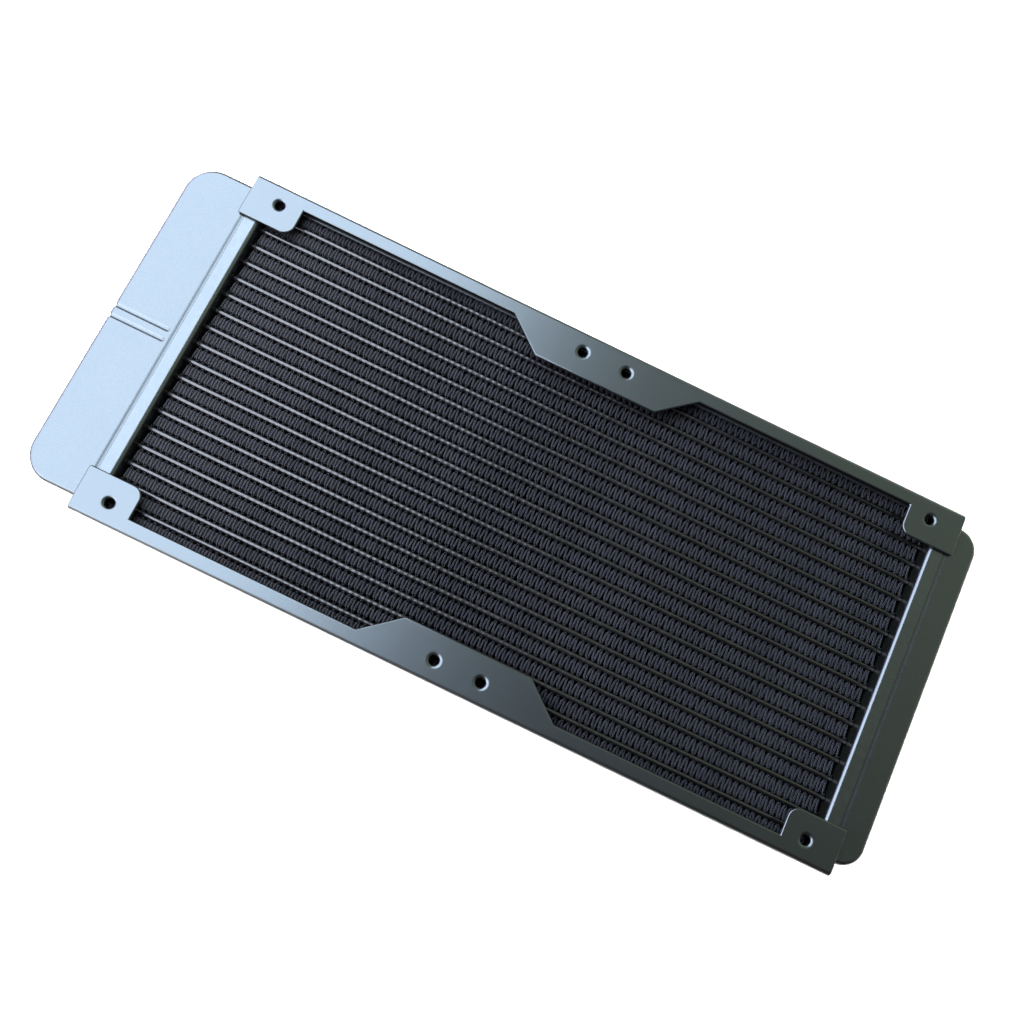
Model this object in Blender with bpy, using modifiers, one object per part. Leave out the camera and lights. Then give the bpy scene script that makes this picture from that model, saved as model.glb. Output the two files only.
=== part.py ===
"""Liquid cooling radiator for two 120 mm fans, as the pieces it is brazed together from.

Units are metres, +Z up. The radiator lies flat on the flanges of its port side. +X runs along
the length, from the divided port tank to the return tank, +Y runs across the tubes and +Z is the
face away from the ports. The origin is the centre of the footprint on the port-side flange plane.
Every piece hangs on one empty, placed where the centre of the fan hole pattern meets mid-depth, so
the functions below work in coordinates measured from that point.
"""

import math

import bmesh
import bpy
from mathutils import Vector

# Driving dimensions
GAP = 0.0003  # clearance left at every brazed or soldered joint

FAN_SIZE = 0.120
FAN_HOLE_SPACING = 0.105
FAN_HOLE_RADIUS = 0.0015
FAN_HOLE_RIM_RADIUS = 0.0026
FAN_HOLE_RIM_DEPTH = 0.0007

THICKNESS = 0.028
WIDTH = 0.118
PORT_TANK_REACH = 0.142  # end of the port tank from the centre of the fan holes
RETURN_TANK_REACH = 0.1305

RAIL_SHEET = 0.001
RAIL_REACH = 0.123
RAIL_BEND_RADIUS = 0.0014
FLANGE_WIDTH = 0.0048
TAB_DEPTH = 0.0142  # reach of every tab from the rail's outer face
CORNER_TAB_LENGTH = 0.018
CORNER_TAB_RADIUS = 0.0035
MIDDLE_TAB_TIP = 0.0205  # half its length at the tip
MIDDLE_TAB_ROOT = 0.032  # half its length at the flange

HEADER_REACH = 0.116  # core side of each header plate
HEADER_DEPTH = 0.0048
HEADER_WIDTH = 0.1132
HEADER_SHEET = 0.0012
HEADER_BEND_RADIUS = 0.0013

TANK_WIDTH = 0.110
TANK_SHEET = 0.0012
TANK_EDGE_RADIUS = 0.0014
TANK_SHOULDER = 0.0016  # length of the slope that leads down to the seam
TANK_SHOULDER_DROP = 0.0002
TANK_SEAM_STEP = 0.00045  # length of the step from that slope down to the lip
PORT_TANK_CORNER_RADIUS = 0.0095
RETURN_TANK_CORNER_RADIUS = 0.0070
TANK_LIP_LENGTH = 0.0030

TUBE_COUNT = 18
TUBE_PITCH = 0.006
TUBE_WIDTH = 0.016
TUBE_THICKNESS = 0.0015
TUBE_WALL = 0.0003
TUBE_STANDOUT = 0.0015  # how far a tube ends inside its tank, past the header plate

FIN_PITCH = 0.00205  # one full fold of the real fin strip
FIN_SHEET = 0.0001
FIN_SETBACK = 0.0002  # fin edge behind the tube noses
FIN_STAND_IN_LEGS = 36  # folds this wide stand in for the fine ones

SIDE_PLATE_SHEET = 0.0009
SIDE_PLATE_INNER = 0.0552  # from the centre line to the plate's fin side

DIVIDER_SHEET = 0.0013
DIVIDER_GROOVE_SPACING = 0.0035
DIVIDER_GROOVE_RADIUS = 0.0014
DIVIDER_GROOVE_LIFT = 0.00104  # centre of the round groove above the tank's surface
DIVIDER_GROOVE_START = 0.1227
DIVIDER_GROOVE_RUN_IN = 0.001  # length over which a groove sinks to its full depth

PORT_SPACING = 0.064
PORT_REACH = 0.1318
PORT_BORE_RADIUS = 0.0058  # G1/4 thread, minor diameter
PORT_MOUTH_RADIUS = 0.0067
PORT_BODY_RADIUS = 0.0077
PORT_COLLAR_RADIUS = 0.0085
PORT_BUSH_LENGTH = 0.009

# Sizes that follow from them
HALF_THICKNESS = THICKNESS / 2
HALF_WIDTH = WIDTH / 2
PATTERN_X = (PORT_TANK_REACH - RETURN_TANK_REACH) / 2
HALF_HEADER_HEIGHT = HALF_THICKNESS - RAIL_SHEET - GAP
HALF_TANK_HEIGHT = HALF_HEADER_HEIGHT
SEAM = HEADER_REACH + HEADER_DEPTH
FAN_HOLE_Y = FAN_HOLE_SPACING / 2
FAN_HOLE_XS = [
    side * FAN_SIZE / 2 + edge * FAN_HOLE_SPACING / 2 for side in (-1, 1) for edge in (-1, 1)
]
TUBE_YS = [(i - (TUBE_COUNT - 1) / 2) * TUBE_PITCH for i in range(TUBE_COUNT)]
CORE_HALF_LENGTH = HEADER_REACH - GAP

# Points nearer than this are one point
WELD = 0.00001

# Turned and rounded detail
ROUND_STEPS = 16
RIM_STEPS = 2
GROOVE_STEPS = 2
BEND_STEPS = 3
TUBE_NOSE_STEPS = 6
SLOT_END_STEPS = 4
BUSH_STEPS = 32


def clear_scene():
    for old in list(bpy.data.objects):
        bpy.data.objects.remove(old, do_unlink=True)


def collection(name, hidden=False):
    made = bpy.data.collections.new(name)
    bpy.context.scene.collection.children.link(made)
    made.hide_render = hidden
    return made


def material(name, colour, roughness, metallic):
    made = bpy.data.materials.new(name)
    made.use_nodes = True
    shader = made.node_tree.nodes["Principled BSDF"]
    shader.inputs["Base Color"].default_value = (*colour, 1.0)
    shader.inputs["Roughness"].default_value = roughness
    shader.inputs["Metallic"].default_value = metallic
    return made


def place(name, data, slot=None, location=(0, 0, 0), rotation=(0, 0, 0)):
    """A part, or a cutter when it has no material, hung on the pattern centre."""
    made = bpy.data.objects.new(name, data)
    made.location = location
    made.rotation_euler = rotation
    made.parent = pattern_centre
    if slot is None:
        made.hide_render = True
        made.display_type = "WIRE"
        cutters.objects.link(made)
        return made
    parts.objects.link(made)
    if not data.materials:
        data.materials.append(slot)
    return made


def mesh_of(bm, name):
    """The mesh with its faces pointing away from its middle, also where it is an open surface."""
    bm.normal_update()
    bmesh.ops.recalc_face_normals(bm, faces=bm.faces)
    middle = sum((v.co for v in bm.verts), Vector()) / len(bm.verts)
    outward = sum(f.calc_area() * f.normal.dot(f.calc_center_median() - middle) for f in bm.faces)
    if outward < 0:
        bmesh.ops.reverse_faces(bm, faces=bm.faces)
    mesh = bpy.data.meshes.new(name)
    bm.to_mesh(mesh)
    bm.free()
    return mesh


def smooth(mesh, angle=math.radians(35)):
    mesh.shade_smooth()
    mesh.set_sharp_from_angle(angle=angle)


def solidify(obj, sheet):
    made = obj.modifiers.new("sheet", "SOLIDIFY")
    made.thickness = sheet
    made.offset = -1
    made.use_even_offset = True


def cut(obj, cutter):
    made = obj.modifiers.new("cut_" + cutter.name, "BOOLEAN")
    made.operation = "DIFFERENCE"
    made.object = cutter


def arc(centre, radius, start, end, steps):
    """Points of a round stretch, with both of its ends."""
    turn = math.radians(end - start) / steps
    first = math.radians(start)
    return [
        (centre[0] + radius * math.cos(first + i * turn), centre[1] + radius * math.sin(first + i * turn))
        for i in range(steps + 1)
    ]


def flat_outline(name, loops, half_thickness=0.0):
    """A filled 2D curve: the first loop is its outline, and the others are holes."""
    curve = bpy.data.curves.new(name, "CURVE")
    curve.dimensions = "2D"
    curve.fill_mode = "BOTH"
    curve.extrude = half_thickness
    for points in loops:
        spline = curve.splines.new("POLY")
        spline.points.add(len(points) - 1)
        for point, (x, y) in zip(spline.points, points):
            point.co = (x, y, 0, 1)
        spline.use_cyclic_u = True
    return curve


def welded_mesh(curve, name):
    """The curve's evaluated mesh with its caps joined on."""
    holder = bpy.data.objects.new(name, curve)
    bpy.context.scene.collection.objects.link(holder)
    graph = bpy.context.evaluated_depsgraph_get()
    mesh = bpy.data.meshes.new_from_object(holder.evaluated_get(graph))
    bpy.data.objects.remove(holder)
    bm = bmesh.new()
    bm.from_mesh(mesh)
    bmesh.ops.remove_doubles(bm, verts=bm.verts, dist=WELD)
    bm.to_mesh(mesh)
    bm.free()
    mesh.name = name
    return mesh


def obround(width, thickness, centre_y=0.0, nose_steps=TUBE_NOSE_STEPS):
    """Outline of a flat tube's section: long along local X, centred at centre_y."""
    radius = thickness / 2
    straight = width / 2 - radius
    right_nose = arc((straight, centre_y), radius, -90, 90, nose_steps)
    left_nose = arc((-straight, centre_y), radius, 90, 270, nose_steps)
    return right_nose + left_nose


# Local X of a section becomes -Z and its local Z becomes +X
ALONG_LENGTH = (0, math.pi / 2, 0)


def build_tubes(slot):
    outer = obround(TUBE_WIDTH, TUBE_THICKNESS)
    inner = obround(TUBE_WIDTH - 2 * TUBE_WALL, TUBE_THICKNESS - 2 * TUBE_WALL)
    half_length = HEADER_REACH + HEADER_SHEET + TUBE_STANDOUT
    mesh = welded_mesh(flat_outline("tube_section", [outer, inner], half_length), "flat_tube")
    smooth(mesh)
    for number, y in enumerate(TUBE_YS, 1):
        place(f"flat_tube_{number:02d}", mesh, slot, (0, y, 0), ALONG_LENGTH)


def folded_strip(height):
    """Outline of a zigzag strip between two tubes, as thick as keeps the real strip's metal."""
    legs = FIN_STAND_IN_LEGS
    step = 2 * CORE_HALF_LENGTH / legs
    real_length = 2 * CORE_HALF_LENGTH / FIN_PITCH * 2 * (height + FIN_PITCH / 2)
    sheet = FIN_SHEET * real_length / (legs * math.hypot(step, height))
    across = sheet / 2 * math.hypot(step, height) / step  # half of the strip, measured along Y
    crest = height / 2 - across
    middle = [(-CORE_HALF_LENGTH + i * step, crest * (-1) ** i) for i in range(legs + 1)]
    upper = [(x, y + across) for x, y in middle]
    lower = [(x, y - across) for x, y in reversed(middle)]
    return upper + lower


def build_fins(slot):
    half_depth = TUBE_WIDTH / 2 - FIN_SETBACK
    tube_face = TUBE_THICKNESS / 2 + GAP
    edges = [-SIDE_PLATE_INNER + GAP]
    for y in TUBE_YS:
        edges += [y - tube_face, y + tube_face]
    edges.append(SIDE_PLATE_INNER - GAP)
    meshes = {}
    for number in range(TUBE_COUNT + 1):
        low, high = edges[2 * number : 2 * number + 2]
        height = round(high - low, 6)
        if height not in meshes:
            section = flat_outline("fin_section", [folded_strip(height)], half_depth)
            meshes[height] = welded_mesh(section, "fin_strip")
        place(f"fin_strip_{number + 1:02d}", meshes[height], slot, (0, (low + high) / 2, 0))


def build_side_plates(slot):
    for name, side in (("core_side_plate_upper", 1), ("core_side_plate_lower", -1)):
        bm = bmesh.new()
        bmesh.ops.create_cube(bm, size=1.0)
        bmesh.ops.scale(bm, verts=bm.verts, vec=(2 * CORE_HALF_LENGTH, SIDE_PLATE_SHEET, TUBE_WIDTH))
        place(name, mesh_of(bm, name), slot, (0, side * (SIDE_PLATE_INNER + SIDE_PLATE_SHEET / 2), 0))


def rail_quarter():
    """Upper half of a rail from its middle to its end: flange with tabs, bend and half the web."""
    flange_y = HALF_WIDTH - FLANGE_WIDTH
    tab_y = HALF_WIDTH - TAB_DEPTH
    fold_y = HALF_WIDTH - RAIL_BEND_RADIUS
    tab_x = RAIL_REACH - CORNER_TAB_LENGTH
    corner = (tab_x + CORNER_TAB_RADIUS, tab_y + CORNER_TAB_RADIUS)
    outline = [(0, fold_y), (0, tab_y), (MIDDLE_TAB_TIP, tab_y), (MIDDLE_TAB_ROOT, flange_y)]
    outline.append((tab_x, flange_y))
    outline += arc(corner, CORNER_TAB_RADIUS, 180, 270, 2 * BEND_STEPS)
    outline += [(RAIL_REACH, tab_y), (RAIL_REACH, fold_y)]
    mesh = welded_mesh(flat_outline("rail_flange", [outline]), "rail_quarter")
    bm = bmesh.new()
    bm.from_mesh(mesh)
    bmesh.ops.translate(bm, verts=bm.verts, vec=(0, 0, HALF_THICKNESS))
    fold = [e for e in bm.edges if all(abs(v.co.y - fold_y) < WELD for v in e.verts)]
    bend = bmesh.ops.spin(
        bm,
        geom=fold,
        cent=(0, fold_y, HALF_THICKNESS - RAIL_BEND_RADIUS),
        axis=(1, 0, 0),
        angle=-math.pi / 2,
        steps=BEND_STEPS,
    )
    web_edge = [g for g in bend["geom_last"] if isinstance(g, bmesh.types.BMEdge)]
    web = bmesh.ops.extrude_edge_only(bm, edges=web_edge)
    for vert in [g for g in web["geom"] if isinstance(g, bmesh.types.BMVert)]:
        vert.co.z = 0
    bmesh.ops.remove_doubles(bm, verts=bm.verts, dist=WELD)
    return mesh_of(bm, "rail_quarter")


def fan_hole_cutter(x, y):
    """A turned cutter through both flanges, opened to the rounded rim at each outer face."""
    face = HALF_THICKNESS
    width = FAN_HOLE_RIM_RADIUS - FAN_HOLE_RADIUS
    profile = [(0, face + RAIL_SHEET), (FAN_HOLE_RIM_RADIUS, face + RAIL_SHEET)]
    for i in range(RIM_STEPS + 1):
        turn = math.pi / 2 * i / RIM_STEPS
        depth = FAN_HOLE_RIM_DEPTH * (1 - math.cos(turn))
        profile.append((FAN_HOLE_RIM_RADIUS - width * math.sin(turn), face - depth))
    profile += [(r, -z) for r, z in reversed(profile)]
    cutter = place(f"fan_hole_cutter_{len(cutters.objects)}", turned_profile(profile), None, (x, y, 0))
    screw(cutter, ROUND_STEPS)
    return cutter


def turned_profile(profile):
    """Edges of a turned shape's section, from its top down its outer side."""
    mesh = bpy.data.meshes.new("profile")
    edges = [(i, i + 1) for i in range(len(profile) - 1)]
    mesh.from_pydata([(r, 0, z) for r, z in profile], edges, [])
    return mesh


def screw(obj, steps):
    made = obj.modifiers.new("turn", "SCREW")
    made.steps = steps
    made.render_steps = steps
    made.use_merge_vertices = True
    made.merge_threshold = WELD
    return made


def build_rails(slot):
    mesh = rail_quarter()
    for name, side in (("side_rail_upper", 1), ("side_rail_lower", -1)):
        turn = (0, 0, 0) if side > 0 else (0, 0, math.pi)
        rail = place(name, mesh, slot, rotation=turn)
        mirror = rail.modifiers.new("halves", "MIRROR")
        mirror.use_axis = (True, False, True)
        mirror.merge_threshold = WELD
        solidify(rail, RAIL_SHEET)
        for x in FAN_HOLE_XS:
            cut(rail, fan_hole_cutter(x, side * FAN_HOLE_Y))
    smooth(mesh)


def tray(depth, width, height):
    """A box along +X from the origin, with its far end open."""
    bm = bmesh.new()
    bmesh.ops.create_cube(bm, size=1.0)
    bmesh.ops.scale(bm, verts=bm.verts, vec=(depth, width, height))
    bmesh.ops.translate(bm, verts=bm.verts, vec=(depth / 2, 0, 0))
    return bm


def on_x(element, x):
    return all(abs(v.co.x - x) < WELD for v in element.verts)


def drop_face_at(bm, x):
    bmesh.ops.delete(bm, geom=[f for f in bm.faces if on_x(f, x)], context="FACES_ONLY")


def build_headers(slot):
    """Slotted trays: the floor faces the core, and the walls reach out round the tank's lip."""
    bm = tray(HEADER_DEPTH, HEADER_WIDTH, 2 * HALF_HEADER_HEIGHT)
    drop_face_at(bm, HEADER_DEPTH)
    folds = [e for e in bm.edges if not on_x(e, HEADER_DEPTH)]
    bmesh.ops.bevel(
        bm, geom=folds, offset=HEADER_BEND_RADIUS, segments=BEND_STEPS, profile=0.5, affect="EDGES"
    )
    mesh = mesh_of(bm, "header_plate")
    smooth(mesh)
    slots = [
        obround(TUBE_WIDTH + 2 * GAP, TUBE_THICKNESS + 2 * GAP, y, SLOT_END_STEPS) for y in TUBE_YS
    ]
    slot_mesh = welded_mesh(flat_outline("slots", slots, HEADER_DEPTH / 2), "tube_slots")
    for name, side in (("header_plate_port_end", -1), ("header_plate_return_end", 1)):
        turn = (0, 0, 0) if side > 0 else (0, 0, math.pi)
        header = place(name, mesh, slot, (side * HEADER_REACH, 0, 0), turn)
        solidify(header, HEADER_SHEET)
        slot_cutter = place(name + "_slots", slot_mesh, None, (side * HEADER_REACH, 0, 0), ALONG_LENGTH)
        cut(header, slot_cutter)


def tank_surface(reach, corner_radius):
    """Outer surface of a tank that ends at reach, open at the seam, with its lip for the header."""
    shoulder = SEAM + GAP + TANK_SHOULDER
    bm = tray(reach - shoulder, TANK_WIDTH, 2 * HALF_TANK_HEIGHT)
    bmesh.ops.translate(bm, verts=bm.verts, vec=(shoulder, 0, 0))
    drop_face_at(bm, shoulder)
    corners = [e for e in bm.edges if on_x(e, reach) and e.verts[0].co.y == e.verts[1].co.y]
    bmesh.ops.bevel(
        bm, geom=corners, offset=corner_radius, segments=2 * BEND_STEPS, profile=0.5, affect="EDGES"
    )
    rims = [e for e in bm.edges if not on_x(e, shoulder) and e.verts[0].co.z == e.verts[1].co.z]
    bmesh.ops.bevel(
        bm, geom=rims, offset=TANK_EDGE_RADIUS, segments=BEND_STEPS, profile=0.5, affect="EDGES"
    )
    lip_height = HALF_HEADER_HEIGHT - HEADER_SHEET - GAP
    rings = [
        (SEAM + GAP + TANK_SEAM_STEP, HALF_TANK_HEIGHT - TANK_SHOULDER_DROP),
        (SEAM + GAP, lip_height),
        (SEAM + GAP - TANK_LIP_LENGTH, lip_height),
    ]
    height = HALF_TANK_HEIGHT
    for x, next_height in rings:
        open_edges = [e for e in bm.edges if e.is_boundary]
        grown = bmesh.ops.extrude_edge_only(bm, edges=open_edges)
        for vert in [g for g in grown["geom"] if isinstance(g, bmesh.types.BMVert)]:
            vert.co.x = x
            vert.co.z *= next_height / height
        height = next_height
    mesh = mesh_of(bm, "tank")
    smooth(mesh)
    return mesh


def groove_cutter(y):
    """A round bar that wraps the port tank, so that it sinks a groove in both faces and the end."""
    reach = PORT_TANK_REACH + DIVIDER_GROOVE_LIFT
    top = HALF_TANK_HEIGHT + DIVIDER_GROOVE_LIFT
    bend = TANK_EDGE_RADIUS + DIVIDER_GROOVE_LIFT
    clear = HALF_TANK_HEIGHT + DIVIDER_GROOVE_RADIUS + GAP
    path = [(DIVIDER_GROOVE_START, clear), (DIVIDER_GROOVE_START + DIVIDER_GROOVE_RUN_IN, top)]
    path += arc((reach - bend, top - bend), bend, 90, 0, 2 * BEND_STEPS)
    path += [(x, -z) for x, z in reversed(path)]
    curve = bpy.data.curves.new("divider_groove", "CURVE")
    curve.dimensions = "3D"
    curve.bevel_depth = DIVIDER_GROOVE_RADIUS
    curve.bevel_resolution = GROOVE_STEPS
    curve.use_fill_caps = True
    spline = curve.splines.new("POLY")
    spline.points.add(len(path) - 1)
    for point, (x, z) in zip(spline.points, path):
        point.co = (-x, y, z, 1)
    return place(f"divider_groove_cutter_{len(cutters.objects)}", welded_mesh(curve, "groove"))


def port_hole_cutter(y):
    bm = bmesh.new()
    bmesh.ops.create_cone(
        bm,
        cap_ends=True,
        segments=BUSH_STEPS,
        radius1=PORT_BODY_RADIUS + GAP,
        radius2=PORT_BODY_RADIUS + GAP,
        depth=2 * PORT_BUSH_LENGTH,
    )
    mesh = mesh_of(bm, "port_hole")
    return place(f"port_hole_cutter_{len(cutters.objects)}", mesh, None, (-PORT_REACH, y, -HALF_TANK_HEIGHT))


def build_tanks(slot):
    mesh = tank_surface(PORT_TANK_REACH, PORT_TANK_CORNER_RADIUS)
    port_tank = place("port_tank", mesh, slot, rotation=(0, 0, math.pi))
    solidify(port_tank, TANK_SHEET)
    for side in (-1, 1):
        cut(port_tank, groove_cutter(side * DIVIDER_GROOVE_SPACING / 2))
        cut(port_tank, port_hole_cutter(side * PORT_SPACING / 2))
    mesh = tank_surface(RETURN_TANK_REACH, RETURN_TANK_CORNER_RADIUS)
    return_tank = place("return_tank", mesh, slot)
    solidify(return_tank, TANK_SHEET)


def build_divider(slot):
    """The plate that parts the port tank into an inlet and an outlet side."""
    inner = PORT_TANK_REACH - TANK_SHEET - GAP
    step = SEAM + GAP + TANK_SEAM_STEP + TANK_SHEET
    floor = HEADER_REACH + HEADER_SHEET + GAP
    tall = HALF_TANK_HEIGHT - TANK_SHOULDER_DROP - TANK_SHEET - GAP
    short = HALF_HEADER_HEIGHT - HEADER_SHEET - TANK_SHEET - 2 * GAP
    half = [(-inner, tall), (-step, tall), (-step, short), (-floor, short)]
    outline = half + [(x, -z) for x, z in reversed(half)]
    curve = flat_outline("divider", [outline], DIVIDER_SHEET / 2)
    place("tank_divider", curve, slot, rotation=(math.pi / 2, 0, 0))


def build_port_bushes(slot):
    """Threaded bushes set in the port tank, collar outwards and flush with the flange plane."""
    collar_face = HALF_THICKNESS - HALF_TANK_HEIGHT
    body_end = PORT_BUSH_LENGTH
    profile = [
        (PORT_BORE_RADIUS, body_end),
        (PORT_BODY_RADIUS, body_end),
        (PORT_BODY_RADIUS, collar_face - GAP),
        (PORT_COLLAR_RADIUS, collar_face - GAP),
        (PORT_COLLAR_RADIUS, GAP),
        (PORT_COLLAR_RADIUS - GAP, 0),
        (PORT_MOUTH_RADIUS, 0),
        (PORT_BORE_RADIUS, PORT_MOUTH_RADIUS - PORT_BORE_RADIUS),
        (PORT_BORE_RADIUS, body_end),
    ]
    mesh = turned_profile(profile)
    for name, side in (("inlet_port_bush", 1), ("outlet_port_bush", -1)):
        bush = place(name, mesh, slot, (-PORT_REACH, side * PORT_SPACING / 2, -HALF_THICKNESS))
        screw(bush, BUSH_STEPS)
    smooth(mesh)


clear_scene()
parts = collection("liquid_cooling_radiator")
cutters = collection("cutters", hidden=True)
pattern_centre = bpy.data.objects.new("pattern_centre", None)
pattern_centre.location = (PATTERN_X, 0, HALF_THICKNESS)
parts.objects.link(pattern_centre)

satin_black = (0.028, 0.030, 0.032)
core_black = (0.020, 0.021, 0.023)
bare_aluminium = (0.62, 0.62, 0.63)

build_tubes(material("tube_paint", core_black, 0.38, 0.0))
build_fins(material("fin_paint", core_black, 0.50, 0.0))
build_side_plates(material("side_plate_paint", core_black, 0.40, 0.0))
build_headers(material("header_paint", satin_black, 0.32, 0.0))
build_tanks(material("tank_paint", satin_black, 0.28, 0.0))
build_rails(material("rail_paint", satin_black, 0.30, 0.0))
build_divider(material("divider_metal", bare_aluminium, 0.40, 1.0))
build_port_bushes(material("bush_metal", bare_aluminium, 0.35, 1.0))
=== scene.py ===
"""Looks of the liquid cooling radiator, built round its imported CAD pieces.

Metres, +Z up. +X runs along the length from the port tank to the return tank, +Y across the tubes.
Pieces are modelled from the centre of the fan hole pattern at mid-depth, which the frame gives.
"""

import math
import random

import bmesh
import bpy
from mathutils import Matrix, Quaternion, Vector


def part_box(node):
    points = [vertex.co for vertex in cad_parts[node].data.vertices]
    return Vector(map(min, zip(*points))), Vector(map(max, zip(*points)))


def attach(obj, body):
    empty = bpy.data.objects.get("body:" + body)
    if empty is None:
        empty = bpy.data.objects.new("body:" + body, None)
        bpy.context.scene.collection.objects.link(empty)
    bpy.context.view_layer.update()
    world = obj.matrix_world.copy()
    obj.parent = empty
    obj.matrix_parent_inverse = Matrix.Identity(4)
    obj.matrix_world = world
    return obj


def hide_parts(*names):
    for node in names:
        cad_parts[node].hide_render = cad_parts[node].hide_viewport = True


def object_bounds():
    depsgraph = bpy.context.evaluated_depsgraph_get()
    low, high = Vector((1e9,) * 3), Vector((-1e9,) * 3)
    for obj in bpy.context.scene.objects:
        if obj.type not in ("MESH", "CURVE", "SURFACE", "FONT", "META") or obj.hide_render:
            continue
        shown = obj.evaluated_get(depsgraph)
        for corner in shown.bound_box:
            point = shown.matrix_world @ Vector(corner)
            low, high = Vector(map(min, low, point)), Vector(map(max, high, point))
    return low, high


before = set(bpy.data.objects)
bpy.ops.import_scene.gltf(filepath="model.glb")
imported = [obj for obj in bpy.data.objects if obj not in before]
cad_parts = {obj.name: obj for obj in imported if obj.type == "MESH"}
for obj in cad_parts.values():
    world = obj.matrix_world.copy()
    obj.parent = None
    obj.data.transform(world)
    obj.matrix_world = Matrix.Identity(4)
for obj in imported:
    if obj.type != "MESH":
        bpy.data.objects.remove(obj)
cad_low, cad_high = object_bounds()

# Places and sizes from the frame
RAIL_LOW, RAIL_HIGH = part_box("side_rail_upper")
PORT_TANK_LOW, PORT_TANK_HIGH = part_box("port_tank")
RETURN_TANK_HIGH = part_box("return_tank")[1]
HEADER_LOW, HEADER_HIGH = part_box("header_plate_return_end")
TUBE_LOW, TUBE_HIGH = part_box("flat_tube_01")
FIN_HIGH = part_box("fin_strip_02")[1]
BUSH_LOW, BUSH_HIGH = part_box("inlet_port_bush")

CENTRE = Vector(((RAIL_LOW.x + RAIL_HIGH.x) / 2, 0, (cad_low.z + cad_high.z) / 2))
HALF_THICKNESS = (cad_high.z - cad_low.z) / 2
HALF_WIDTH = RAIL_HIGH.y
RAIL_REACH = RAIL_HIGH.x - CENTRE.x
TAB_DEPTH = RAIL_HIGH.y - RAIL_LOW.y
PORT_TANK_REACH = CENTRE.x - PORT_TANK_LOW.x
RETURN_TANK_REACH = RETURN_TANK_HIGH.x - CENTRE.x
HALF_TANK_WIDTH = PORT_TANK_HIGH.y
HALF_TANK_HEIGHT = PORT_TANK_HIGH.z - CENTRE.z
HEADER_REACH = HEADER_LOW.x - CENTRE.x
SEAM = HEADER_HIGH.x - CENTRE.x
HALF_HEADER_WIDTH = HEADER_HIGH.y
HALF_HEADER_HEIGHT = HEADER_HIGH.z - CENTRE.z
TUBE_RADIUS = (TUBE_HIGH.y - TUBE_LOW.y) / 2
HALF_TUBE_DEPTH = TUBE_HIGH.z - CENTRE.z
TUBE_REACH = TUBE_HIGH.x - CENTRE.x
HALF_FIN_DEPTH = FIN_HIGH.z - CENTRE.z
FIN_REACH = FIN_HIGH.x - CENTRE.x
PORT_X = (BUSH_LOW.x + BUSH_HIGH.x) / 2 - CENTRE.x
PORT_Y = (BUSH_LOW.y + BUSH_HIGH.y) / 2
COLLAR_RADIUS = (BUSH_HIGH.y - BUSH_LOW.y) / 2
BUSH_LENGTH = BUSH_HIGH.z - BUSH_LOW.z

TUBE_NODES = [f"flat_tube_{i:02d}" for i in range(1, 19)]
FIN_NODES = [f"fin_strip_{i:02d}" for i in range(1, 20)]

# Sheet, rails and fan holes
GAP = 0.0003
SEAM_GAP = 0.00016
RAIL_SHEET = 0.001
RAIL_BEND_RADIUS = 0.0014
FLANGE_WIDTH = 0.0048
CORNER_TAB_LENGTH = 0.018
CORNER_TAB_RADIUS = 0.0035
MIDDLE_TAB_TIP = 0.0205
MIDDLE_TAB_ROOT = 0.032
EDGE_ROUNDING = 0.0002
RAIL_EDGE_ROUNDING = 0.00046
FAN_HOLE_SPACING = 0.105
FAN_SIZE = 0.120
FAN_HOLE_RADIUS = 0.0015
FAN_HOLE_RIM_RADIUS = 0.0026
FAN_HOLE_RIM_DEPTH = 0.0007

# Header plates and tanks
PRESSED_SHEET = 0.0012
HEADER_BEND_RADIUS = 0.0013
TANK_EDGE_RADIUS = 0.0014
TANK_SHOULDER = 0.0016
TANK_SHOULDER_DROP = 0.0002
TANK_LIP_LENGTH = 0.003
PORT_TANK_CORNER_RADIUS = 0.0095
RETURN_TANK_CORNER_RADIUS = 0.0070
GROOVE_SPACING = 0.0035
GROOVE_HALF_WIDTH = 0.0011
GROOVE_DEPTH = 0.00036
GROOVE_START = 0.1227
GROOVE_RUN_IN = 0.0010
GROOVE_CUTTER_LIFT = 0.00002  # edges of the groove's section above the tank's surface

# Core
TUBE_WALL = 0.0003
TUBE_WANDER = 0.00005
TUBE_STATIONS = 48
TUBE_SEED = 18
FIN_PITCH = 0.00205
FIN_SHEET = 0.00016
FIN_CREST_RADIUS = 0.00034
FIN_CREST_STEPS = 4
FIN_JITTER = 0.00012
FILLET_HEIGHT = 0.000014
LOUVER_SHEET = 0.00014
LOUVER_WIDTH = 0.0012
LOUVER_ANGLE = math.radians(38)
LOUVER_SHARE = 0.8
LOUVER_DEPTHS = (0.0006, 0.0017)

# Port bushes, threaded G1/4
THREAD_PITCH = 0.001337
THREAD_MAJOR_RADIUS = 0.0065
THREAD_MINOR_RADIUS = 0.0058
THREAD_ROOT = 0.9  # widths of the thread's rib, in pitches
THREAD_CREST = 0.16
BODY_RADIUS = 0.0077
MOUTH_RADIUS = 0.0067

# Paint and metal detail: noise scales per metre, and heights
MOTTLE_SCALE = 90
GLOSS_SCALE = 500
PEEL_SCALE = 700
PEEL_HEIGHT = 0.0001
GRAIN_SCALE = 3500
GRAIN_HEIGHT = 0.00001
PAINT_IOR = 1.55
WARM_SHEEN = (1, 0.86, 0.80, 1)
METAL_TONE_SCALE = 400
METAL_GLOSS_SCALE = 900
METAL_GRAIN_SCALE = 2500
METAL_GRAIN_HEIGHT = 0.00002
METAL_GRAIN_STRENGTH = 0.15

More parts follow.
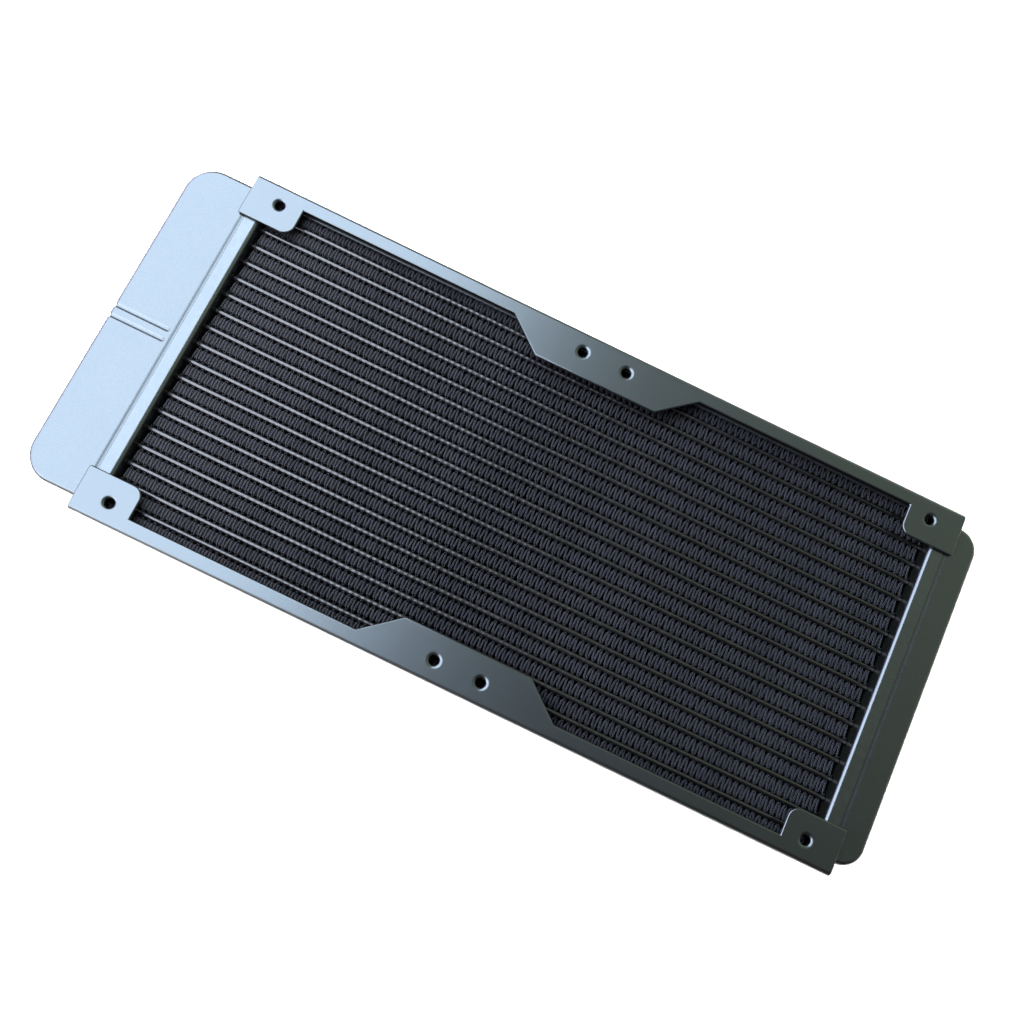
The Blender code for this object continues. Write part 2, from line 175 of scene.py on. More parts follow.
# Stage
FAR_WALL = (0.55, 0.75, 0.35)  # the direction in which it lies
FAR_WALL_LIGHT = (1.5, 1.9, 1.5)
DIM_ROOM = (0.13, 0.13, 0.13)
BACKDROP = (0.72, 0.72, 0.72)
FLOOR_REACH = 6.0
FLOOR_TONE_SCALE = 30
KEY_SPREAD = math.radians(140)

# Camera: its places are measured on the upper face, from the centre of the fan holes
CAMERA_LENS = 33.8
CAMERA_HEIGHT = 0.280
CAMERA_FOOT = (-0.0083, -0.0556)
CAMERA_AIM = (-0.0086, -0.0020)
CAMERA_ROLL = math.radians(25.5)
CAMERA_CLIP_START = 0.01

# Steps in round stretches, and the least bend at which an edge gets rounded
ARC_STEPS = 12
BEND_STEPS = 8
ROUND_STEPS = 64
ROUNDED_BEND = math.radians(40)

# Points nearer than this are one point
WELD = 0.000001


# Mesh helpers


def arc(centre, radius, start, end, steps=ARC_STEPS):
    """Points of a round stretch, with both of its ends."""
    turn = math.radians(end - start) / steps
    first = math.radians(start)
    return [
        (centre[0] + radius * math.cos(first + i * turn), centre[1] + radius * math.sin(first + i * turn))
        for i in range(steps + 1)
    ]


def mesh_of(bm, name):
    """The finished mesh, with its faces turned outwards."""
    bm.normal_update()
    bmesh.ops.recalc_face_normals(bm, faces=bm.faces)
    middle = sum((v.co for v in bm.verts), Vector()) / len(bm.verts)
    outward = sum(f.calc_area() * f.normal.dot(f.calc_center_median() - middle) for f in bm.faces)
    if outward < 0:
        bmesh.ops.reverse_faces(bm, faces=bm.faces)
    mesh = bpy.data.meshes.new(name)
    bm.to_mesh(mesh)
    bm.free()
    return mesh


def new_object(name, mesh, location=(0, 0, 0), turn=0.0):
    """An object that hangs on the centre of the fan hole pattern, turned about Z."""
    made = bpy.data.objects.new(name, mesh)
    made.location = CENTRE + Vector(location)
    made.rotation_euler = (0, 0, turn)
    bpy.context.scene.collection.objects.link(made)
    return made


def finish_piece(obj, material, node, angle=35):
    """Applies the modifiers, shades smooth up to an angle, and puts the piece in its CAD node's place."""
    bpy.context.view_layer.update()
    graph = bpy.context.evaluated_depsgraph_get()
    mesh = bpy.data.meshes.new_from_object(obj.evaluated_get(graph))
    obj.modifiers.clear()
    obj.data = mesh
    mesh.shade_smooth()
    mesh.set_sharp_from_angle(angle=math.radians(angle))
    obj.modifiers.new("shading", "WEIGHTED_NORMAL").keep_sharp = True
    mesh.materials.clear()
    mesh.materials.append(material)
    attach(obj, "root")
    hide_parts(node)


def solidify(obj, sheet, even=True):
    made = obj.modifiers.new("sheet", "SOLIDIFY")
    made.thickness = sheet
    made.offset = -1
    made.use_even_offset = even


def round_edges(obj, width, segments=3):
    made = obj.modifiers.new("edges", "BEVEL")
    made.width = width
    made.segments = segments
    made.limit_method = "ANGLE"
    made.angle_limit = ROUNDED_BEND


def cut(obj, cutters):
    """Cuts each cutter out of the object, applies the cuts and removes the cutters."""
    for cutter in cutters:
        made = obj.modifiers.new("cut", "BOOLEAN")
        made.operation = "DIFFERENCE"
        made.object = cutter
    bpy.context.view_layer.update()
    graph = bpy.context.evaluated_depsgraph_get()
    mesh = bpy.data.meshes.new_from_object(obj.evaluated_get(graph))
    obj.modifiers.clear()
    obj.data = mesh
    for cutter in cutters:
        bpy.data.objects.remove(cutter)


def turned(profile, name):
    """A mesh turned about Z from a section given as (radius, z) points."""
    bm = bmesh.new()
    verts = [bm.verts.new((r, 0, z)) for r, z in profile]
    edges = [bm.edges.new(pair) for pair in zip(verts, verts[1:])]
    bmesh.ops.spin(
        bm, geom=verts + edges, cent=(0, 0, 0), axis=(0, 0, 1), angle=math.tau, steps=ROUND_STEPS
    )
    bmesh.ops.remove_doubles(bm, verts=bm.verts, dist=WELD)
    return mesh_of(bm, name)


def bridged_rings(rings, name, closed_ends=True):
    """A mesh through rings of points, each joined to the next."""
    bm = bmesh.new()
    loops = [[bm.verts.new(point) for point in ring] for ring in rings]
    count = len(loops[0])
    for ring, following in zip(loops, loops[1:]):
        for i in range(count):
            j = (i + 1) % count
            bm.faces.new((ring[i], ring[j], following[j], following[i]))
    if closed_ends:
        bm.faces.new(loops[0])
        bm.faces.new(loops[-1])
    return mesh_of(bm, name)


# Rails


def rail_quarter():
    """Upper half of a rail from its middle to its end: flange with tabs, bend and half the web."""
    flange_y = HALF_WIDTH - FLANGE_WIDTH
    tab_y = HALF_WIDTH - TAB_DEPTH
    fold_y = HALF_WIDTH - RAIL_BEND_RADIUS
    tab_x = RAIL_REACH - CORNER_TAB_LENGTH
    corner = (tab_x + CORNER_TAB_RADIUS, tab_y + CORNER_TAB_RADIUS)
    outline = [(0, fold_y), (0, tab_y), (MIDDLE_TAB_TIP, tab_y), (MIDDLE_TAB_ROOT, flange_y)]
    outline.append((tab_x, flange_y))
    outline += arc(corner, CORNER_TAB_RADIUS, 180, 270)
    outline += [(RAIL_REACH, tab_y), (RAIL_REACH, fold_y)]
    bm = bmesh.new()
    verts = [bm.verts.new((x, y, HALF_THICKNESS)) for x, y in outline]
    bm.faces.new(verts)
    bm.edges.ensure_lookup_table()
    fold = [e for e in bm.edges if all(abs(v.co.y - fold_y) < WELD for v in e.verts)]
    bend = bmesh.ops.spin(
        bm,
        geom=fold,
        cent=(0, fold_y, HALF_THICKNESS - RAIL_BEND_RADIUS),
        axis=(1, 0, 0),
        angle=-math.pi / 2,
        steps=BEND_STEPS,
    )
    web_edge = [g for g in bend["geom_last"] if isinstance(g, bmesh.types.BMEdge)]
    web = bmesh.ops.extrude_edge_only(bm, edges=web_edge)
    for vert in [g for g in web["geom"] if isinstance(g, bmesh.types.BMVert)]:
        vert.co.z = 0
    bmesh.ops.remove_doubles(bm, verts=bm.verts, dist=WELD)
    return mesh_of(bm, "rail_quarter")


def fan_hole_cutter(x, y):
    """A turned cutter through both flanges, whose flare leaves each hole a rounded rim."""
    face = HALF_THICKNESS
    width = FAN_HOLE_RIM_RADIUS - FAN_HOLE_RADIUS
    flare = [
        (FAN_HOLE_RIM_RADIUS - width * math.sin(t), face - FAN_HOLE_RIM_DEPTH * (1 - math.cos(t)))
        for t in [math.pi / 2 * i / BEND_STEPS for i in range(BEND_STEPS + 1)]
    ]
    profile = [(0, face + RAIL_SHEET), (FAN_HOLE_RIM_RADIUS, face + RAIL_SHEET)] + flare
    profile += [(r, -z) for r, z in reversed(profile)]
    return new_object("fan_hole", turned(profile, "fan_hole"), (x, y, 0))


def build_rails(material):
    hole_xs = [
        side * FAN_SIZE / 2 + edge * FAN_HOLE_SPACING / 2 for side in (-1, 1) for edge in (-1, 1)
    ]
    for name, side in (("upper", 1), ("lower", -1)):
        turn = 0.0 if side > 0 else math.pi
        rail = new_object("rail_" + name, rail_quarter(), turn=turn)
        mirror = rail.modifiers.new("halves", "MIRROR")
        mirror.use_axis = (True, False, True)
        mirror.merge_threshold = WELD
        solidify(rail, RAIL_SHEET)
        round_edges(rail, RAIL_EDGE_ROUNDING, 4)
        cut(rail, [fan_hole_cutter(x, side * FAN_HOLE_SPACING / 2) for x in hole_xs])
        finish_piece(rail, material, "side_rail_" + name)


# Header plates and tanks


def tray(start, end, half_width, half_height):
    """A box along +X that is open at its far end."""
    bm = bmesh.new()
    bmesh.ops.create_cube(bm, size=1.0)
    bmesh.ops.scale(bm, verts=bm.verts, vec=(end - start, 2 * half_width, 2 * half_height))
    bmesh.ops.translate(bm, verts=bm.verts, vec=((start + end) / 2, 0, 0))
    return bm


def on_x(element, x):
    return all(abs(v.co.x - x) < WELD for v in element.verts)


def drop_face_at(bm, x):
    bmesh.ops.delete(bm, geom=[f for f in bm.faces if on_x(f, x)], context="FACES_ONLY")


def bevel(bm, edges, radius, steps):
    bmesh.ops.bevel(bm, geom=edges, offset=radius, segments=steps, profile=0.5, affect="EDGES")


def flat_ring(x, y, margin):
    """Outline of the tube at y in the plane at x, made larger all round by margin."""
    radius = TUBE_RADIUS + margin
    straight = HALF_TUBE_DEPTH + margin - radius
    upper = arc((y, straight), radius, 0, 180)
    lower = arc((y, -straight), radius, 180, 360)
    return [(x, across, z) for across, z in upper + lower]


def tube_ys():
    return [sum(corner.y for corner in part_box(node)) / 2 for node in TUBE_NODES]


def build_headers(material):
    for name, side in (("port_end", -1), ("return_end", 1)):
        bm = tray(HEADER_REACH, SEAM, HALF_HEADER_WIDTH, HALF_HEADER_HEIGHT)
        drop_face_at(bm, SEAM)
        bevel(bm, [e for e in bm.edges if not on_x(e, SEAM)], HEADER_BEND_RADIUS, BEND_STEPS)
        turn = 0.0 if side > 0 else math.pi
        header = new_object("header_" + name, mesh_of(bm, "header"), turn=turn)
        solidify(header, PRESSED_SHEET)
        ends = [side * (HEADER_REACH + depth) for depth in (-PRESSED_SHEET, 2 * PRESSED_SHEET)]
        slots = []
        for y in tube_ys():
            mesh = bridged_rings([flat_ring(x, y, GAP) for x in ends], "slot")
            slots.append(new_object("slot", mesh))
        cut(header, slots)
        finish_piece(header, material, "header_plate_" + name)


def tank_surface(reach, corner_radius):
    """Outer surface of a pressed tank: crown, rounded edges, shoulder, and lip inside the header."""
    shoulder = SEAM + SEAM_GAP + TANK_SHOULDER
    bm = tray(shoulder, reach, HALF_TANK_WIDTH, HALF_TANK_HEIGHT)
    drop_face_at(bm, shoulder)
    upright = [e for e in bm.edges if on_x(e, reach) and e.verts[0].co.y == e.verts[1].co.y]
    bevel(bm, upright, corner_radius, 2 * ARC_STEPS)
    rims = [e for e in bm.edges if not on_x(e, shoulder) and e.verts[0].co.z == e.verts[1].co.z]
    bevel(bm, rims, TANK_EDGE_RADIUS, 2 * ARC_STEPS)
    rings = []
    for i in range(1, BEND_STEPS + 1):
        t = i / BEND_STEPS
        fall = TANK_SHOULDER_DROP * (1 - math.cos(math.pi * t)) / 2
        rings.append((shoulder - t * TANK_SHOULDER, HALF_TANK_HEIGHT - fall))
    lip_height = HALF_HEADER_HEIGHT - PRESSED_SHEET - GAP
    rings.append((SEAM + SEAM_GAP, lip_height))
    rings.append((SEAM - TANK_LIP_LENGTH, lip_height))
    height = HALF_TANK_HEIGHT
    for x, next_height in rings:
        open_edges = [e for e in bm.edges if e.is_boundary]
        grown = bmesh.ops.extrude_edge_only(bm, edges=open_edges)
        for vert in [g for g in grown["geom"] if isinstance(g, bmesh.types.BMVert)]:
            vert.co.x = x
            vert.co.z *= next_height / height
        height = next_height
    return mesh_of(bm, "tank")


def groove_cutter(y):
    """A bar round the port tank whose section leaves a pressed groove with soft shoulders."""
    bend = TANK_EDGE_RADIUS
    top = HALF_TANK_HEIGHT
    path = [((-GROOVE_START, top + GROOVE_DEPTH), 90), ((-GROOVE_START - GROOVE_RUN_IN, top), 90)]
    edge = arc((-PORT_TANK_REACH + bend, top - bend), bend, 90, 180, BEND_STEPS)
    path += [(point, 90 + 90 * i / BEND_STEPS) for i, point in enumerate(edge)]
    path += [((x, -z), -angle) for (x, z), angle in reversed(path)]
    section = []
    for i in range(-ARC_STEPS, ARC_STEPS + 1):
        share = i / ARC_STEPS
        depth = GROOVE_DEPTH * (1 + math.cos(math.pi * share)) / 2
        section.append((share * GROOVE_HALF_WIDTH, GROOVE_CUTTER_LIFT - depth))
    section += [(GROOVE_HALF_WIDTH, GROOVE_DEPTH), (-GROOVE_HALF_WIDTH, GROOVE_DEPTH)]
    rings = []
    for (x, z), angle in path:
        out = (math.cos(math.radians(angle)), math.sin(math.radians(angle)))
        rings.append([(x + out[0] * n, y + s, z + out[1] * n) for s, n in section])
    return new_object("groove", bridged_rings(rings, "groove"))


def port_hole_cutter(y):
    radius = BODY_RADIUS + GAP
    half = 2 * PRESSED_SHEET
    mesh = turned([(0, half), (radius, half), (radius, -half), (0, -half)], "port_hole")
    return new_object("port_hole", mesh, (PORT_X, y, -HALF_TANK_HEIGHT))


def build_tanks(material):
    port_tank = new_object(
        "tank_port_end", tank_surface(PORT_TANK_REACH, PORT_TANK_CORNER_RADIUS), turn=math.pi
    )
    solidify(port_tank, PRESSED_SHEET, even=False)
    cutters = [groove_cutter(side * GROOVE_SPACING / 2) for side in (-1, 1)]
    cutters += [port_hole_cutter(side * PORT_Y) for side in (-1, 1)]
    cut(port_tank, cutters)
    finish_piece(port_tank, material, "port_tank", angle=6)
    return_tank = new_object("tank_return_end", tank_surface(RETURN_TANK_REACH, RETURN_TANK_CORNER_RADIUS))
    solidify(return_tank, PRESSED_SHEET, even=False)
    finish_piece(return_tank, material, "return_tank", angle=6)


# Port bushes


def thread_mesh():
    """A rib that winds up the bore, and fades in and out at its ends."""
    root = THREAD_MAJOR_RADIUS + GAP / 2
    half_root = THREAD_ROOT * THREAD_PITCH / 2
    half_crest = THREAD_CREST * THREAD_PITCH / 2
    depth = THREAD_MAJOR_RADIUS - THREAD_MINOR_RADIUS
    turns = (BUSH_LENGTH - 2 * THREAD_PITCH) / THREAD_PITCH
    rings = []
    for i in range(int(turns * ROUND_STEPS)):
        angle = math.tau * i / ROUND_STEPS
        z = THREAD_PITCH + THREAD_PITCH * i / ROUND_STEPS
        fade = min(1, i / ARC_STEPS, (turns * ROUND_STEPS - i) / ARC_STEPS)
        crest = THREAD_MAJOR_RADIUS - depth * fade
        section = [(root, -half_root), (crest, -half_crest), (crest, half_crest), (root, half_root)]
        rings.append([(r * math.cos(angle), r * math.sin(angle), z + dz) for r, dz in section])
    return bridged_rings(rings, "thread")


def build_port_bushes(material):
    """Bushes with a rolled collar, a chamfered mouth and a real thread in the bore."""
    collar = HALF_THICKNESS - HALF_TANK_HEIGHT - GAP
    profile = [(THREAD_MAJOR_RADIUS, BUSH_LENGTH), (BODY_RADIUS, BUSH_LENGTH), (BODY_RADIUS, collar)]
    profile.append((COLLAR_RADIUS, collar))
    profile += arc((COLLAR_RADIUS - GAP, GAP), GAP, 0, -90, BEND_STEPS)
    profile += [(MOUTH_RADIUS, 0), (THREAD_MAJOR_RADIUS, MOUTH_RADIUS - THREAD_MAJOR_RADIUS)]
    profile.append(profile[0])
    for name, side in (("inlet", 1), ("outlet", -1)):
        bush = new_object(
            name + "_bush", turned(profile, "bush"), (PORT_X, side * PORT_Y, -HALF_THICKNESS)
        )
        bm = bmesh.new()
        bm.from_mesh(bush.data)
        bm.from_mesh(thread_mesh())
        bm.to_mesh(bush.data)
        bm.free()
        finish_piece(bush, material, name + "_port_bush")


# Core


def build_tubes(material):
    """Flat tubes with round noses. Each wanders slightly between the header plates."""
    draw = random.Random(TUBE_SEED)
    for number, y in enumerate(tube_ys(), 1):
        phases = [draw.uniform(0, math.tau) for _ in range(3)]
        outer = []
        inner = []
        for i in range(TUBE_STATIONS + 1):
            along = i / TUBE_STATIONS
            x = (2 * along - 1) * TUBE_REACH
            hold = math.sin(math.pi * along)
            sway = sum(math.sin(phase + (k + 2) * math.tau * along) for k, phase in enumerate(phases))
            across = y + TUBE_WANDER * hold * sway
            outer.append(flat_ring(x, across, 0))
            inner.append(flat_ring(x, across, -TUBE_WALL))
        rings = outer + list(reversed(inner)) + [outer[0]]
        mesh = bridged_rings(rings, "tube", closed_ends=False)
        bm = bmesh.new()
        bm.from_mesh(mesh)
        bmesh.ops.remove_doubles(bm, verts=bm.verts, dist=WELD)
        tube = new_object(f"tube_{number:02d}", mesh_of(bm, "tube"))
        finish_piece(tube, material, TUBE_NODES[number - 1])


def fin_path(height, draw):
    """Middle line of a folded strip, and the straight legs between its crests."""
    folds = round(4 * FIN_REACH / FIN_PITCH)
    step = 2 * (FIN_REACH - FIN_CREST_RADIUS - FIN_SHEET) / folds
    path = []
    feet = []
    for i in range(folds + 1):
        side = 1 if i % 2 else -1
        stray = draw.uniform(-1, 1) * FIN_JITTER if 0 < i < folds else 0
        x = (i - folds / 2) * step + stray
        y = side * (height / 2 - FIN_SHEET / 2 - FIN_CREST_RADIUS)
        crest = arc((x, y), FIN_CREST_RADIUS, 180, 180 - side * 180, FIN_CREST_STEPS)
        feet.append((Vector(crest[0]), Vector(crest[-1])))
        path += [Vector(point) for point in crest]
    legs = [(start[1], end[0]) for start, end in zip(feet, feet[1:])]
    return path, legs


def add_strip(bm, path):
    """The folded sheet as one closed body, with a slight ridge along both of its edges."""
    brim = HALF_FIN_DEPTH - FIN_SHEET / 2
    columns = []
    for i, point in enumerate(path):
        along = (path[min(i + 1, len(path) - 1)] - path[max(i - 1, 0)]).normalized()
        side = Vector((-along.y, along.x)) * FIN_SHEET / 2
        section = [(point + side, brim), (point, HALF_FIN_DEPTH), (point - side, brim)]
        section += [(p, -z) for p, z in reversed(section)]
        columns.append([bm.verts.new((p.x, p.y, z)) for p, z in section])
    count = len(columns[0])
    for column, following in zip(columns, columns[1:]):
        for i in range(count):
            j = (i + 1) % count
            bm.faces.new((column[i], following[i], following[j], column[j]))
    bm.faces.new(columns[0])
    bm.faces.new(reversed(columns[-1]))


def add_louver(bm, start, end, z, tilt):
    """One slat across a leg, turned about the leg's own line."""
    middle = (start + end) / 2
    half = (end - start) * LOUVER_SHARE / 2
    normal = Vector((half.y, -half.x)).normalized() * math.copysign(1, half.y)
    width = Vector((normal.x * math.sin(tilt), normal.y * math.sin(tilt), math.cos(tilt)))
    thick = Vector((normal.x * math.cos(tilt), normal.y * math.cos(tilt), -math.sin(tilt)))
    width *= LOUVER_WIDTH / 2
    thick *= LOUVER_SHEET / 2
    ends = []
    for foot in (middle - half, middle + half):
        base = Vector((foot.x, foot.y, z))
        corners = [-width - thick, width - thick, width + thick, thick - width]
        ends.append([bm.verts.new(base + corner) for corner in corners])
    near, far = ends
    bm.faces.new(reversed(near))
    bm.faces.new(far)
    for i in range(4):
        j = (i + 1) % 4
        bm.faces.new((near[i], near[j], far[j], far[i]))


def fin_mesh(height, seed):
    path, legs = fin_path(height, random.Random(seed))
    bm = bmesh.new()
    add_strip(bm, path)
    for start, end in legs:
        for depth in LOUVER_DEPTHS:
            add_louver(bm, start, end, HALF_FIN_DEPTH - depth, -LOUVER_ANGLE)
            add_louver(bm, start, end, depth - HALF_FIN_DEPTH, LOUVER_ANGLE)
    mesh = bpy.data.meshes.new("fin_strip")
    bmesh.ops.recalc_face_normals(bm, faces=bm.faces)
    bm.to_mesh(mesh)
    bm.free()
    return mesh


def build_fins(material):
    """Folded strips with louvers, as tall as the space between their two neighbours."""
    for number, node in enumerate(FIN_NODES, 1):
        low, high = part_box(node)
        mesh = fin_mesh(high.y - low.y + 2 * GAP, seed=number)
        fin = new_object(f"fins_{number:02d}", mesh, (0, (low.y + high.y) / 2, 0))
        finish_piece(fin, material, node, angle=60)


# Materials


def node_material(name):
    made = bpy.data.materials.new(name)
    made.use_nodes = True
    tree = made.node_tree
    return made, tree, tree.nodes["Principled BSDF"]


def add_node(tree, kind, **inputs):
    made = tree.nodes.new(kind)
    for key, value in inputs.items():
        made.inputs[key.replace("_", " ")].default_value = value
    return made


def noise(tree, scale, detail):
    place = tree.nodes.new("ShaderNodeTexCoord")
    made = add_node(tree, "ShaderNodeTexNoise", Scale=scale, Detail=detail)
    tree.links.new(place.outputs["Object"], made.inputs["Vector"])
    return made.outputs["Fac"]


def mapped(tree, value, low, high, start=0.3, end=0.7):
    made = add_node(tree, "ShaderNodeMapRange", From_Min=start, From_Max=end, To_Min=low, To_Max=high)
    tree.links.new(value, made.inputs["Value"])
    return made.outputs["Result"]


def mixed(tree, factor, first, second):
    """A blend of two colours, each given as three numbers or as another node's output."""
    made = tree.nodes.new("ShaderNodeMix")
    made.data_type = "RGBA"
    tree.links.new(factor, made.inputs["Factor"])
    colours = [socket for socket in made.inputs if socket.type == "RGBA"]
    for socket, colour in zip(colours, (first, second)):
        if isinstance(colour, tuple):
            socket.default_value = (*colour, 1)
        else:
            tree.links.new(colour, socket)
    return next(socket for socket in made.outputs if socket.type == "RGBA")


def bumped(tree, heights):
    """Chained bump nodes from (height socket, strength, distance)."""
    normal = None
    for height, strength, distance in heights:
        made = add_node(tree, "ShaderNodeBump", Strength=strength, Distance=distance)
        tree.links.new(height, made.inputs["Height"])
        if normal is not None:
            tree.links.new(normal, made.inputs["Normal"])
        normal = made.outputs["Normal"]
    return normal


def paint(name, dark, light, roughness, peel, gloss=0.5):
    """Stoved paint: mottled colour, uneven gloss, orange peel and fine grain."""
    made, tree, shader = node_material(name)
    mottle = noise(tree, MOTTLE_SCALE, 4)
    tree.links.new(mixed(tree, mapped(tree, mottle, 0, 1), dark, light), shader.inputs["Base Color"])
    tree.links.new(mapped(tree, noise(tree, GLOSS_SCALE, 2), *roughness), shader.inputs["Roughness"])
    orange_peel = (noise(tree, PEEL_SCALE, 2), peel, PEEL_HEIGHT)
    grain = (noise(tree, GRAIN_SCALE, 2), peel, GRAIN_HEIGHT)
    tree.links.new(bumped(tree, [orange_peel, grain]), shader.inputs["Normal"])
    shader.inputs["IOR"].default_value = PAINT_IOR
    shader.inputs["Specular IOR Level"].default_value = gloss
    return made


def fillets(tube_paint):
    """A swelling of each tube's nose at every fin crest, where the brazing has drawn up."""
    tree = tube_paint.node_tree
    place = tree.nodes.new("ShaderNodeTexCoord")
    along = tree.nodes.new("ShaderNodeSeparateXYZ")
    turn = tree.nodes.new("ShaderNodeMath")
    turn.operation = "MULTIPLY"
    turn.inputs[1].default_value = math.tau / FIN_PITCH
    wave = tree.nodes.new("ShaderNodeMath")
    wave.operation = "SINE"
    swell = add_node(tree, "ShaderNodeBump", Strength=1.0, Distance=FILLET_HEIGHT)
    shader = tree.nodes["Principled BSDF"]
    shader.inputs["Specular Tint"].default_value = WARM_SHEEN
    tree.links.new(place.outputs["Object"], along.inputs[0])
    tree.links.new(along.outputs["X"], turn.inputs[0])
    tree.links.new(turn.outputs[0], wave.inputs[0])
    tree.links.new(wave.outputs[0], swell.inputs["Height"])
    tree.links.new(shader.inputs["Normal"].links[0].from_socket, swell.inputs["Normal"])
    tree.links.new(swell.outputs["Normal"], shader.inputs["Normal"])


def metal(name, dark, light, roughness):
    """Bare aluminium: uneven tone and gloss, and a fine grain."""
    made, tree, shader = node_material(name)
    shader.inputs["Metallic"].default_value = 1
    tone = noise(tree, METAL_TONE_SCALE, 4)
    gloss = noise(tree, METAL_GLOSS_SCALE, 4)
    grain = (noise(tree, METAL_GRAIN_SCALE, 3), METAL_GRAIN_STRENGTH, METAL_GRAIN_HEIGHT)
    tree.links.new(mixed(tree, mapped(tree, tone, 0, 1), dark, light), shader.inputs["Base Color"])
    tree.links.new(mapped(tree, gloss, *roughness), shader.inputs["Roughness"])
    tree.links.new(bumped(tree, [grain]), shader.inputs["Normal"])
    return made


def keep_cad_node(node, material):
    """A CAD node that stays, with its edges rounded and a material of its own."""
    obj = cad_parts[node]
    weld = obj.modifiers.new("weld", "WELD")
    weld.merge_threshold = WELD
    round_edges(obj, EDGE_ROUNDING)
    obj.modifiers.new("shading", "WEIGHTED_NORMAL")
    obj.data.materials.clear()
    obj.data.materials.append(material)


# Stage


def build_floor():
    mesh = bpy.data.meshes.new("floor")
    reach = FLOOR_REACH
    corners = [(-reach, -reach, 0), (reach, -reach, 0), (reach, reach, 0), (-reach, reach, 0)]
    mesh.from_pydata(corners, [], [(0, 1, 2, 3)])
    floor = bpy.data.objects.new("floor", mesh)
    bpy.context.scene.collection.objects.link(floor)
    made, tree, shader = node_material("floor_paper")
    tone = mapped(tree, noise(tree, FLOOR_TONE_SCALE, 3), 0, 1)
    colour = mixed(tree, tone, (0.80, 0.765, 0.73), (0.83, 0.79, 0.755))
    tree.links.new(colour, shader.inputs["Base Color"])
    shader.inputs["Roughness"].default_value = 0.9
    shader.inputs["Specular IOR Level"].default_value = 0.0
    mesh.materials.append(made)


def softbox(name, location, aim, size, radiance, colour, reflects=True):
    """A lit rectangle that either shows in glossy paint or lights what is matte."""
    lamp = bpy.data.lights.new(name, "AREA")
    lamp.shape = "RECTANGLE"
    lamp.size, lamp.size_y = size
    lamp.energy = radiance * math.pi * size[0] * size[1]
    lamp.color = colour
    holder = bpy.data.objects.new(name, lamp)
    holder.location = location
    holder.rotation_euler = (Vector(aim) - Vector(location)).to_track_quat("-Z", "Y").to_euler()
    holder.visible_diffuse = not reflects
    holder.visible_glossy = reflects
    bpy.context.scene.collection.objects.link(holder)
    return holder


def build_world():
    """A dim room whose reflection is brighter and greener towards FAR_WALL, and a plain backdrop."""
    world = bpy.data.worlds.new("studio")
    bpy.context.scene.world = world
    world.use_nodes = True
    tree = world.node_tree
    place = tree.nodes.new("ShaderNodeTexCoord")
    facing = tree.nodes.new("ShaderNodeVectorMath")
    facing.operation = "DOT_PRODUCT"
    facing.inputs[1].default_value = FAR_WALL
    tree.links.new(place.outputs["Generated"], facing.inputs[0])
    share = mapped(tree, facing.outputs["Value"], 0, 1, start=0.35, end=1.0)
    reflected = mixed(tree, share, DIM_ROOM, FAR_WALL_LIGHT)
    rays = tree.nodes.new("ShaderNodeLightPath").outputs
    room = mixed(tree, rays["Is Glossy Ray"], DIM_ROOM, reflected)
    seen = mixed(tree, rays["Is Camera Ray"], room, BACKDROP)
    tree.links.new(seen, tree.nodes["Background"].inputs["Color"])


def build_light():
    """Tall windows that the paint reflects, a key over the port end, and a fill for the floor alone."""
    middle = (0, 0, 0)
    port_end = (-0.11, 0.01, 0)
    key_white = (0.90, 0.95, 1.0)
    fill_white = (0.95, 0.97, 1.0)
    softbox("high_window", (-0.54, 0.03, 1.07), middle, (2.1, 0.80), 20, (0.61, 0.79, 1.0))
    softbox("low_window", (-1.05, 0.03, 0.62), middle, (2.1, 0.62), 16, (0.62, 0.68, 1.0))
    softbox("front_window", (-0.72, -1.0, 0.75), middle, (0.9, 0.7), 12, (0.80, 0.90, 1.0))
    key = softbox("key", (-0.155, 0.01, 0.20), port_end, (0.2, 0.2), 24.5, key_white, reflects=False)
    key.data.spread = KEY_SPREAD
    fill = softbox("floor_fill", (0.75, -0.05, 0.75), middle, (1.0, 0.6), 14, fill_white, reflects=False)
    lit = bpy.data.collections.new("lit_by_floor_fill")
    lit.objects.link(bpy.data.objects["floor"])
    fill.light_linking.receiver_collection = lit


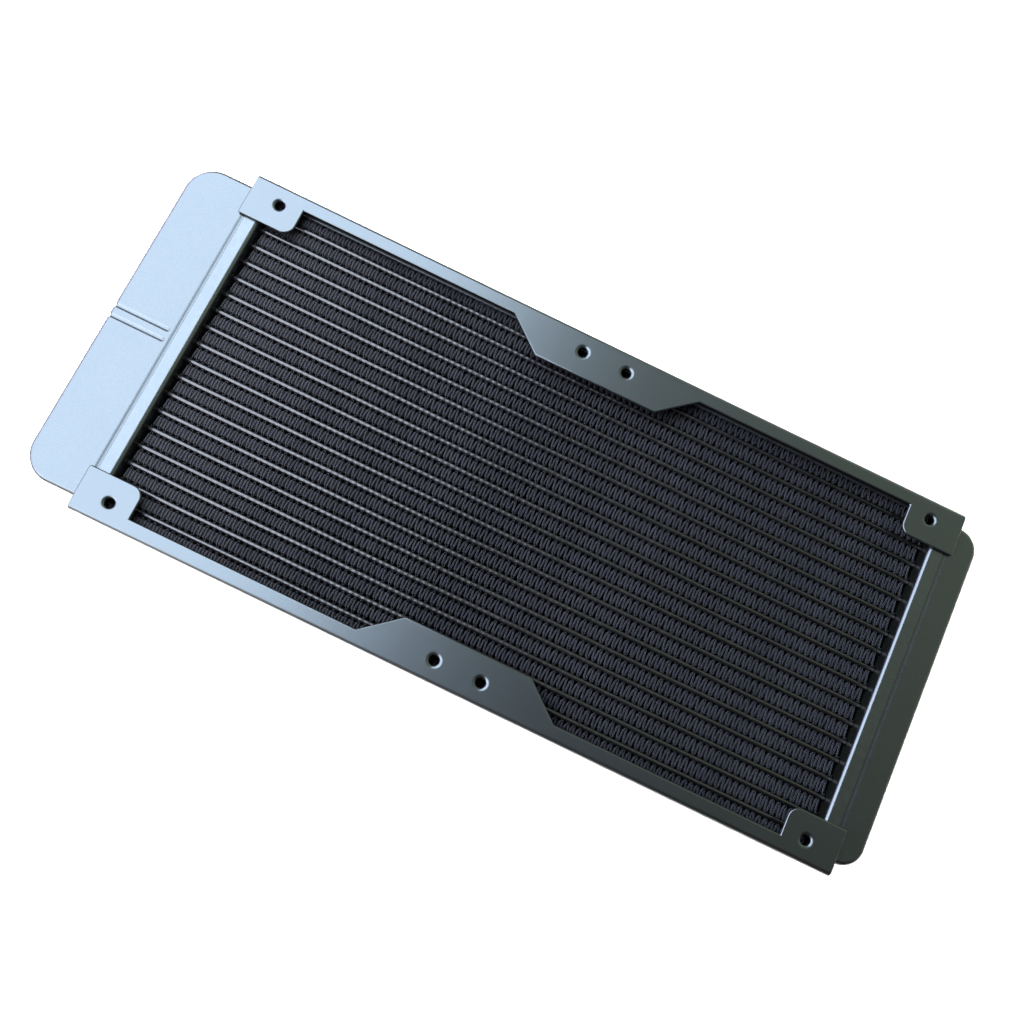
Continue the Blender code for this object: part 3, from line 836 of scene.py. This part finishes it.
def build_camera():
    """Above the upper face, near one long side, and turned so that the length runs down to the right."""
    camera = bpy.data.cameras.new("camera")
    camera.lens = CAMERA_LENS
    camera.clip_start = CAMERA_CLIP_START
    holder = bpy.data.objects.new("camera", camera)
    upper_face = Vector((CENTRE.x, 0, cad_high.z))
    holder.location = upper_face + Vector((*CAMERA_FOOT, CAMERA_HEIGHT))
    aim = upper_face + Vector((*CAMERA_AIM, 0))
    straight = (aim - holder.location).to_track_quat("-Z", "Y")
    holder.rotation_mode = "QUATERNION"
    holder.rotation_quaternion = straight @ Quaternion((0, 0, 1), CAMERA_ROLL)
    bpy.context.scene.collection.objects.link(holder)
    bpy.context.scene.camera = holder


enamel = ((0.0015, 0.0018, 0.0016), (0.0025, 0.0028, 0.0026))
header_enamel = ((0.002, 0.0025, 0.002), (0.0035, 0.004, 0.0035))
rail_paint = paint("rail_paint", *enamel, (0.285, 0.295), 0.12)
tank_paint = paint("tank_paint", *enamel, (0.26, 0.29), 0.08)
header_paint = paint("header_paint", *header_enamel, (0.26, 0.32), 0.2, 0.55)
tube_paint = paint("tube_paint", (0.002, 0.002, 0.0025), (0.004, 0.004, 0.005), (0.20, 0.30), 0.3, 0.33)
fin_paint = paint("fin_paint", (0.014, 0.014, 0.017), (0.020, 0.020, 0.024), (0.55, 0.65), 0.3, 0.1)
plate_paint = paint("plate_paint", (0.005, 0.005, 0.006), (0.009, 0.009, 0.010), (0.32, 0.42), 0.3)
fillets(tube_paint)
bush_metal = metal("bush_metal", (0.50, 0.50, 0.51), (0.66, 0.66, 0.67), (0.26, 0.38))
divider_metal = metal("divider_metal", (0.45, 0.45, 0.46), (0.60, 0.60, 0.61), (0.35, 0.5))

build_rails(rail_paint)
build_headers(header_paint)
build_tanks(tank_paint)
build_port_bushes(bush_metal)
build_tubes(tube_paint)
build_fins(fin_paint)
for plate in ("core_side_plate_upper", "core_side_plate_lower"):
    keep_cad_node(plate, plate_paint)
keep_cad_node("tank_divider", divider_metal)

build_floor()
build_world()
build_light()
build_camera()
bpy.context.scene.view_settings.view_transform = "Standard"
